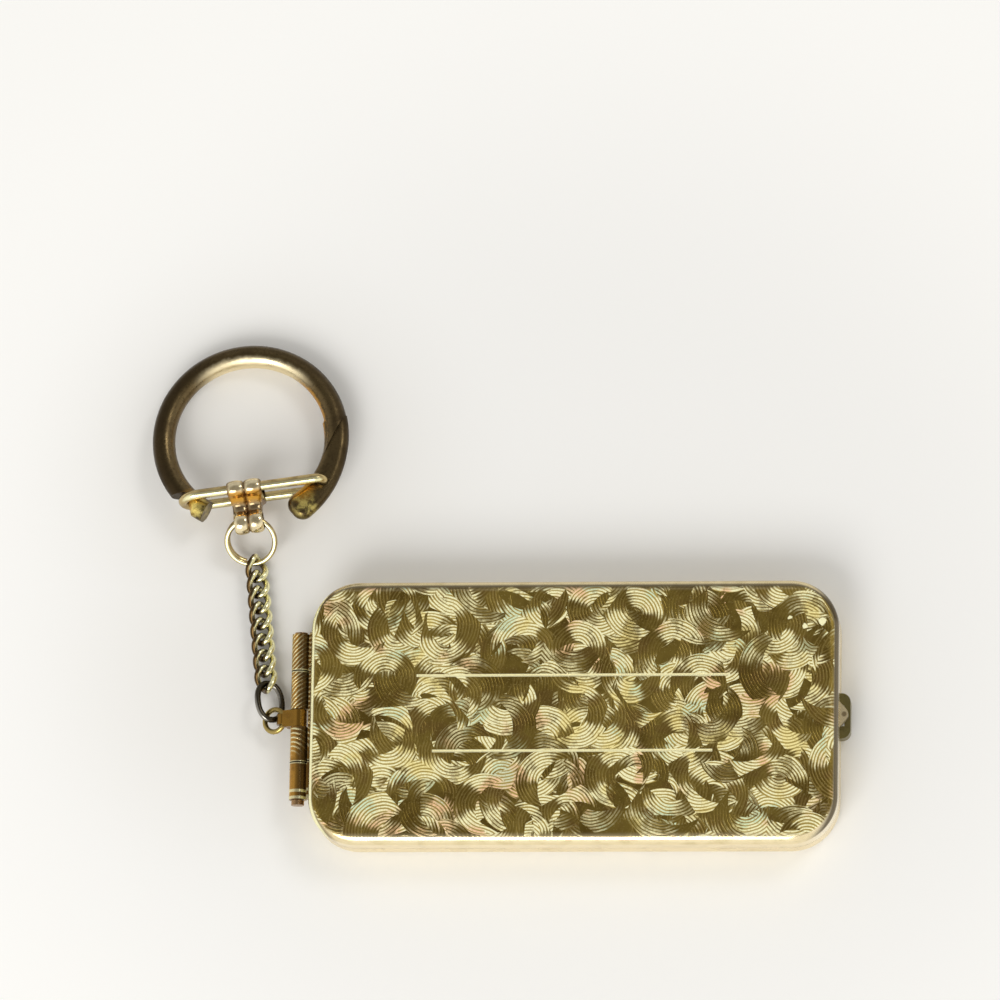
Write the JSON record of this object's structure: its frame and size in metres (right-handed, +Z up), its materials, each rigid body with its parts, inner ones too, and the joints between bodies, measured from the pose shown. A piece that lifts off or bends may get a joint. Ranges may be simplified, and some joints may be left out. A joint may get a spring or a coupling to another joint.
{
  "type": "charge plate holder",
  "caption": "Slim hinged metal case for address plates, with a latch button, thumb lip, curb chain and gated key hoop.",
  "frame": {"origin": "centre of the flat underside of the base shell", "axes": "+X along the case towards the latch button, +Y across the case, +Z up out of the lid"},
  "size_m": [0.0877, 0.0643, 0.007],
  "materials": {
    "gold_lid": "gold plated, engraved all over with fine swirled lines",
    "gold_base": "gold plated, polished",
    "brass": "rolled brass with engraved curved lines",
    "button_metal": "dark satin",
    "spring_steel": "bright spring steel",
    "gold_wire": "pale gold plate, polished",
    "chain_metal": "gold plated wire, slightly worn",
    "dark_steel": "bare dark steel",
    "hoop_metal": "worn gold plate, satin"
  },
  "bodies": {
    "base": {"base_shell": "gold_base", "base_hinge_leaf": "brass", "hinge_pin": "brass", "latch_spring": "spring_steel", "spring_rivets": "spring_steel"},
    "lid": {"lid_shell": "gold_lid", "lid_hinge_leaf": "brass", "lid_catch": "spring_steel"},
    "button": {"push_button": "button_metal"},
    "strap": {"chain_strap": "brass"},
    "jump_ring": {"jump_ring": "gold_wire"},
    "oval_link": {"oval_link": "dark_steel"},
    "chain_link_1": {"chain_link_1": "chain_metal"},
    "chain_link_2": {"chain_link_2": "chain_metal"},
    "chain_link_3": {"chain_link_3": "chain_metal"},
    "chain_link_4": {"chain_link_4": "chain_metal"},
    "chain_link_5": {"chain_link_5": "chain_metal"},
    "chain_link_6": {"chain_link_6": "chain_metal"},
    "chain_link_7": {"chain_link_7": "chain_metal"},
    "chain_link_8": {"chain_link_8": "chain_metal"},
    "split_ring": {"split_ring": "gold_wire"},
    "clevis": {"ring_clevis": "gold_wire"},
    "bar": {"gate_bar": "gold_wire"},
    "hoop": {"key_hoop": "hoop_metal"}
  },
  "joints": [
    {"name": "lid_hinge", "type": "hinge", "parent": "base", "child": "lid", "pos_m": [-0.0343, 0, 0.0036], "axis": [0, -1, 0], "range_deg": [0, 105]},
    {"name": "button_slide", "type": "slide", "parent": "base", "child": "button", "axis": [-1, 0, 0], "range_m": [0, 0.0005], "stiffness_N_per_m": 300, "springref_m": -0.0003, "deforming": ["latch_spring"]},
    {"name": "strap_swing", "type": "hinge", "parent": "base", "child": "strap", "pos_m": [-0.0343, -0.00015, 0.0036], "axis": [0, 1, 0], "range_deg": [-50, 8]},
    {"name": "jump_ring_swing", "type": "hinge", "parent": "strap", "child": "jump_ring", "pos_m": [-0.03641, -0.00015, 0.00283], "axis": [0, -1, 0], "range_deg": [-5, 35]},
    {"name": "oval_link_swing", "type": "hinge", "parent": "jump_ring", "child": "oval_link", "pos_m": [-0.03777, 0.00037, 0.00233], "axis": [0, 0, -1], "range_deg": [-12, 12]},
    {"name": "chain_link_1_bend", "type": "hinge", "parent": "oval_link", "child": "chain_link_1", "pos_m": [-0.0388, 0.00439, 0.0015], "axis": [0, 0, 1], "range_deg": [-18, 18]},
    {"name": "chain_link_2_bend", "type": "hinge", "parent": "chain_link_1", "child": "chain_link_2", "pos_m": [-0.03901, 0.00628, 0.00148], "axis": [1, 0, 0], "range_deg": [-18, 18]},
    {"name": "chain_link_3_bend", "type": "hinge", "parent": "chain_link_2", "child": "chain_link_3", "pos_m": [-0.03923, 0.0083, 0.00146], "axis": [0, 0, -1], "range_deg": [-18, 18]},
    {"name": "chain_link_4_bend", "type": "hinge", "parent": "chain_link_3", "child": "chain_link_4", "pos_m": [-0.03945, 0.01031, 0.00143], "axis": [-1, 0, 0], "range_deg": [-18, 18]},
    {"name": "chain_link_5_bend", "type": "hinge", "parent": "chain_link_4", "child": "chain_link_5", "pos_m": [-0.03967, 0.01233, 0.00141], "axis": [0, 0, 1], "range_deg": [-18, 18]},
    {"name": "chain_link_6_bend", "type": "hinge", "parent": "chain_link_5", "child": "chain_link_6", "pos_m": [-0.03989, 0.01435, 0.00138], "axis": [1, 0, 0], "range_deg": [-18, 18]},
    {"name": "chain_link_7_bend", "type": "hinge", "parent": "chain_link_6", "child": "chain_link_7", "pos_m": [-0.04011, 0.01637, 0.00136], "axis": [0, 0, -1], "range_deg": [-18, 18]},
    {"name": "chain_link_8_bend", "type": "hinge", "parent": "chain_link_7", "child": "chain_link_8", "pos_m": [-0.04032, 0.01839, 0.00133], "axis": [-1, 0, 0], "range_deg": [-18, 18]},
    {"name": "split_ring_swing", "type": "hinge", "parent": "chain_link_8", "child": "split_ring", "pos_m": [-0.0406, 0.02003, 0.00126], "axis": [1, 0, 0], "range_deg": [-20, 25]},
    {"name": "clevis_swing", "type": "hinge", "parent": "split_ring", "child": "clevis", "pos_m": [-0.0411, 0.02464, 0.00421], "axis": [0.9907, 0.1348, -0.0156], "range_deg": [-30, 50]},
    {"name": "bar_slide", "type": "slide", "parent": "clevis", "child": "bar", "axis": [0.9907, 0.1348, -0.0156], "range_m": [-0.0016, 0.0022]},
    {"name": "hoop_swing", "type": "hinge", "parent": "bar", "child": "hoop", "pos_m": [-0.03185, 0.02976, 0.00362], "axis": [0, -0.1149, -0.9934], "range_deg": [0, 55]}
  ]
}
